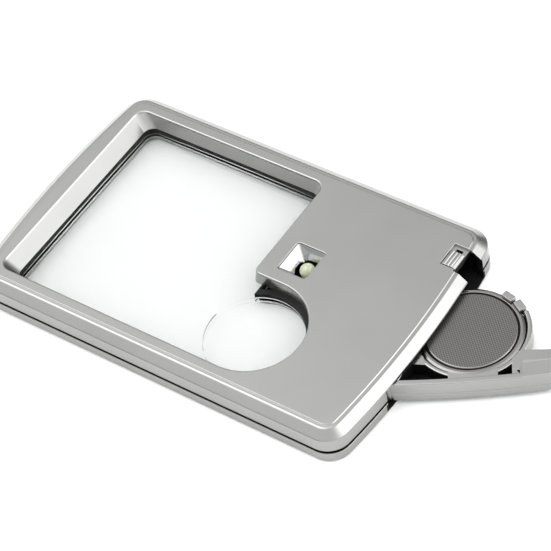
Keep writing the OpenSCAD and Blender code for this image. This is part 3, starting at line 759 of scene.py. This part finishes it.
def make_tray():
    """The ring round the cell with its webs and floor, opened at one side and from below."""
    ring = about_cell("ring", rounded([
        (0, TRAY, 0), (RING_OUT, TRAY, 0.15), (RING_OUT, RING_TOP, 0.25), (RING_IN, RING_TOP, 0.2),
        (RING_IN, TRAY_FLOOR, 0), (0, TRAY_FLOOR, 0),
    ], 4, closed=False), 160)
    web = plan_solid("web", rounded([
        (2.5, TRAY, 0), (1.0, TRAY, 0.1), (1.0, RING_TOP, 0.1), (2.5, RING_TOP, 0),
    ], 3, False))
    web_parts = [
        soft_box("web_far", (35.3, 13.7, 0), (BEYOND, BAR_FAR, RING_TOP), 0.15),
        soft_box("web_fill", (38.1, 2.5, 0), (BEYOND, 11.3, RING_TOP), 0.12),
        prism("arm", ARM, 0, RING_TOP),
    ]
    carve(web_parts[0], web_parts[1:], "UNION")
    carve(web, [web_parts[0]], "INTERSECT")
    floor = plan_solid("floor", [(1.0, TRAY), (1.0, TRAY_FLOOR)])
    carve(floor, [prism("floor_reach", FLOOR, 0, 3)], "INTERSECT")
    room = about_cell("room", [(0, TRAY_FLOOR), (RING_IN, TRAY_FLOOR), (RING_IN, 9), (0, 9)], 160)
    carve(web, [room])
    carve(ring, [web, floor], "UNION")
    carve(ring, [
        prism("gap", wedge(110, 215), TRAY_FLOOR, 9),
        prism("low", wedge(210, 262), 3.6, 9),
        about_cell("push_hole", [(0, 0), (3, 0), (3, 5), (0, 5)], 48),
        prism("pocket", [(39.7, 14.5), (40.9, 15.3), (39.7, 15.3)], TRAY_FLOOR, 9),
    ])
    return ring


def make_hooks():
    """Posts at the ring's open side, each with a lip over the cell's edge."""
    pieces = []
    for angle, half, inner, outer, top in HOOKS:
        lip = soft_box("lip", (inner, -half, 4.6), (outer, half, top), 0.12)
        post = soft_box("post", (RING_IN, -half + 0.1, TRAY), (outer - 0.05, half - 0.1, top - 0.2), 0.05)
        for piece in (lip, post):
            turn = Matrix.Rotation(math.radians(angle), 4, "Z")
            piece.data.transform(Matrix.Translation(Vector((CELL_X, CELL_Y, 0)) * MM) @ turn)
            pieces.append(piece)
    return pieces


def make_drawer():
    """The drawer as one moulding, drawn shut and then swung open."""
    bar = make_bar()
    thumb = make_thumb()
    ring = make_tray()
    barrel = turned("barrel", rounded([
        (0, TRAY, 0), (3.1, TRAY, 0.1), (3.1, BAR_TOP, 0.15), (0, BAR_TOP, 0),
    ], 4, False), PIVOT, SILVER, 96)
    carve(bar, thumb + [ring, barrel] + make_hooks(), "UNION")
    bore = turned("bore", [(0, 0), (0.8, 0), (0.8, 9), (0, 9)], PIVOT, BLACK, 48)
    carve(bar, [bore])

    def pocket_black_and_shade(middle, _):
        """Faces down in the gap between ring and bar, painted black: partly the moulding's own black,
        partly painted shade in the deep pocket.
        """
        down_in = middle.z < RING_TOP - 0.15 and middle.z > TRAY + 0.02
        from_cell = math.hypot(middle.x - CELL_X, middle.y - CELL_Y)
        by_bar = middle.x > 36.5 and from_cell > 10.9 and depth_in(middle) > 0.6
        return down_in and by_bar and PIVOT.y < middle.y < 20.6

    paint(bar, BLACK, pocket_black_and_shade)
    swung_open(bar)
    tidy(bar, 32)
    place(bar, "drawer", "silver_lacquer", "battery_drawer")


# ---- Cell ---------------------------------------------------------------------------------


def make_cell():
    """The coin cell's can, seal and cap, turned in the drawer's shut place and swung open."""
    foot, top = CELL_FOOT, CELL_TOP
    centre = (CELL_X, CELL_Y)
    can = turned("cell_can_shell", rounded([
        (0, foot, 0), (10, foot, 0.4), (10, top - 0.75, 0.3), (9.75, top - 0.25, 0.3),
        (9.3, top - 0.05, 0.15), (8.8, top - 0.05, 0.1), (8.8, top - 0.25, 0),
        (9.15, top - 0.35, 0.1), (9.7, top - 0.85, 0.1), (9.7, foot + 0.3, 0.1), (0, foot + 0.3, 0),
    ], 6, False), centre, CELL, 160)
    seal = turned("cell_seal", rounded([
        (9.0, foot + 0.35, 0), (9.65, foot + 0.35, 0), (9.65, top - 0.9, 0), (9.1, top - 0.4, 0.1),
        (8.75, top - 0.3, 0), (8.75, top - 0.12, 0.08), (8.55, top - 0.12, 0.08), (8.55, top - 0.35, 0),
        (9.0, top - 0.7, 0),
    ], 4), centre, BLACK, 160)
    cap = turned("cell_top", rounded([
        (0, top - 0.3, 0), (8.2, top - 0.3, 0.1), (8.2, foot + 0.4, 0.1), (8.5, foot + 0.4, 0.1),
        (8.5, top, 0.3), (0, top, 0),
    ], 6, False), centre, CAP, 160)
    paint(cap, CELL, lambda middle, _: math.hypot(middle.x - CELL_X, middle.y - CELL_Y) > 8.12)
    for piece, slot, node in (
        (can, "cell_steel", "cell_can"),
        (seal, "black_plastic", "cell_gasket"),
        (cap, "cell_steel", "cell_cap"),
    ):
        swung_open(piece)
        tidy(piece, 40)
        place(piece, "drawer", slot, node)


make_front()
make_rear()
make_lens()
make_reflector()
make_lamp()
make_knob()
make_drawer()
make_cell()

# ---- Stage --------------------------------------------------------------------------------

# Where the camera looks, from the middle of the case, its height and its distance, in millimetres
LOOK_AT, LOOK_HEIGHT, DISTANCE = (8.07, 2.39), 3, 447.67
# Azimuth, elevation and roll, in degrees, and focal length
VIEW = (43.948, 48.974, -12.662)
FOCAL = 158.94
# Even light, then each patch: its direction, its sharpness and its strength, dark if negative
AMBIENT = 1.3
LOBES = [
    ((0.70, 0.36, 0.62), 12.0, 3.6),
    ((0.06, 0.99, 0.1), 2.0, -0.8),
    ((0.06, 0.99, 0.16), 10.0, -0.3),
    ((-0.46, -0.88, 0.05), 8.0, -0.8),
    ((-0.456, -0.1, 0.886), 14.0, 3.2),
]


def make_camera():
    """The camera at the viewing angle of the picture: from the drawer end's near corner."""
    low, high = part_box("front_cover")
    middle = (low + high) / 2
    target = Vector((middle.x + LOOK_AT[0] * MM, middle.y + LOOK_AT[1] * MM, LOOK_HEIGHT * MM))
    azimuth, elevation, roll = (math.radians(a) for a in VIEW)
    back = Vector((
        math.sin(azimuth) * math.cos(elevation),
        -math.cos(azimuth) * math.cos(elevation),
        math.sin(elevation),
    ))
    side = Vector((0, 0, 1)).cross(back).normalized()
    above = back.cross(side)
    right = side * math.cos(roll) + above * math.sin(roll)
    up = above * math.cos(roll) - side * math.sin(roll)
    data = bpy.data.cameras.new("camera")
    data.lens = FOCAL
    data.clip_start = 0.01
    data.clip_end = 20
    camera = bpy.data.objects.new("camera", data)
    bpy.context.scene.collection.objects.link(camera)
    camera.matrix_world = Matrix((
        (right.x, up.x, back.x, 0), (right.y, up.y, back.y, 0), (right.z, up.z, back.z, 0),
        (0, 0, 0, 1),
    ))
    camera.location = target + back * DISTANCE * MM
    bpy.context.scene.camera = camera


def lobe(nodes, links, direction, sharpness, amount):
    """A soft patch of light (or, with a negative amount, of dark) around a direction of the sky."""
    toward = nodes.new("ShaderNodeTexCoord")
    facing = nodes.new("ShaderNodeVectorMath")
    facing.operation = "DOT_PRODUCT"
    facing.inputs[1].default_value = Vector(direction).normalized()
    links.new(toward.outputs["Generated"], facing.inputs[0])
    socket = facing.outputs["Value"]
    for operation, value in (("MAXIMUM", 0.0), ("POWER", sharpness), ("MULTIPLY", amount)):
        step = nodes.new("ShaderNodeMath")
        step.operation = operation
        step.inputs[1].default_value = value
        links.new(socket, step.inputs[0])
        socket = step.outputs["Value"]
    return socket


def make_world():
    """A white studio: even light with soft bright and dark patches and no lamps."""
    world = bpy.data.worlds.new("studio")
    world.use_nodes = True
    bpy.context.scene.world = world
    nodes, links = world.node_tree.nodes, world.node_tree.links
    total = None
    for direction, sharpness, amount in LOBES:
        patch = lobe(nodes, links, direction, sharpness, amount)
        join = nodes.new("ShaderNodeMath")
        join.operation = "ADD"
        join.inputs[0].default_value = AMBIENT
        if total is not None:
            links.new(total, join.inputs[0])
        links.new(patch, join.inputs[1])
        total = join.outputs["Value"]
    back = nodes["Background"]
    back.inputs["Color"].default_value = (0.99, 1.0, 1.0, 1)
    links.new(total, back.inputs["Strength"])


def make_floor():
    """A plain pale floor just under the case."""
    bpy.ops.mesh.primitive_plane_add(size=4, location=(0, 0, -0.00005))
    floor = bpy.context.object
    floor.name = "floor"
    material, nodes, links, shader = node_material("pale_floor")
    tone = noise_at(nodes, links, 3.0)
    links.new(ramp_between(nodes, links, tone, (0.93,) * 3, (0.95,) * 3), shader.inputs["Base Color"])
    shader.inputs["Roughness"].default_value = 0.9
    floor.data.materials.append(material)


make_camera()
make_world()
make_floor()
bpy.context.scene.view_settings.view_transform = "Standard"
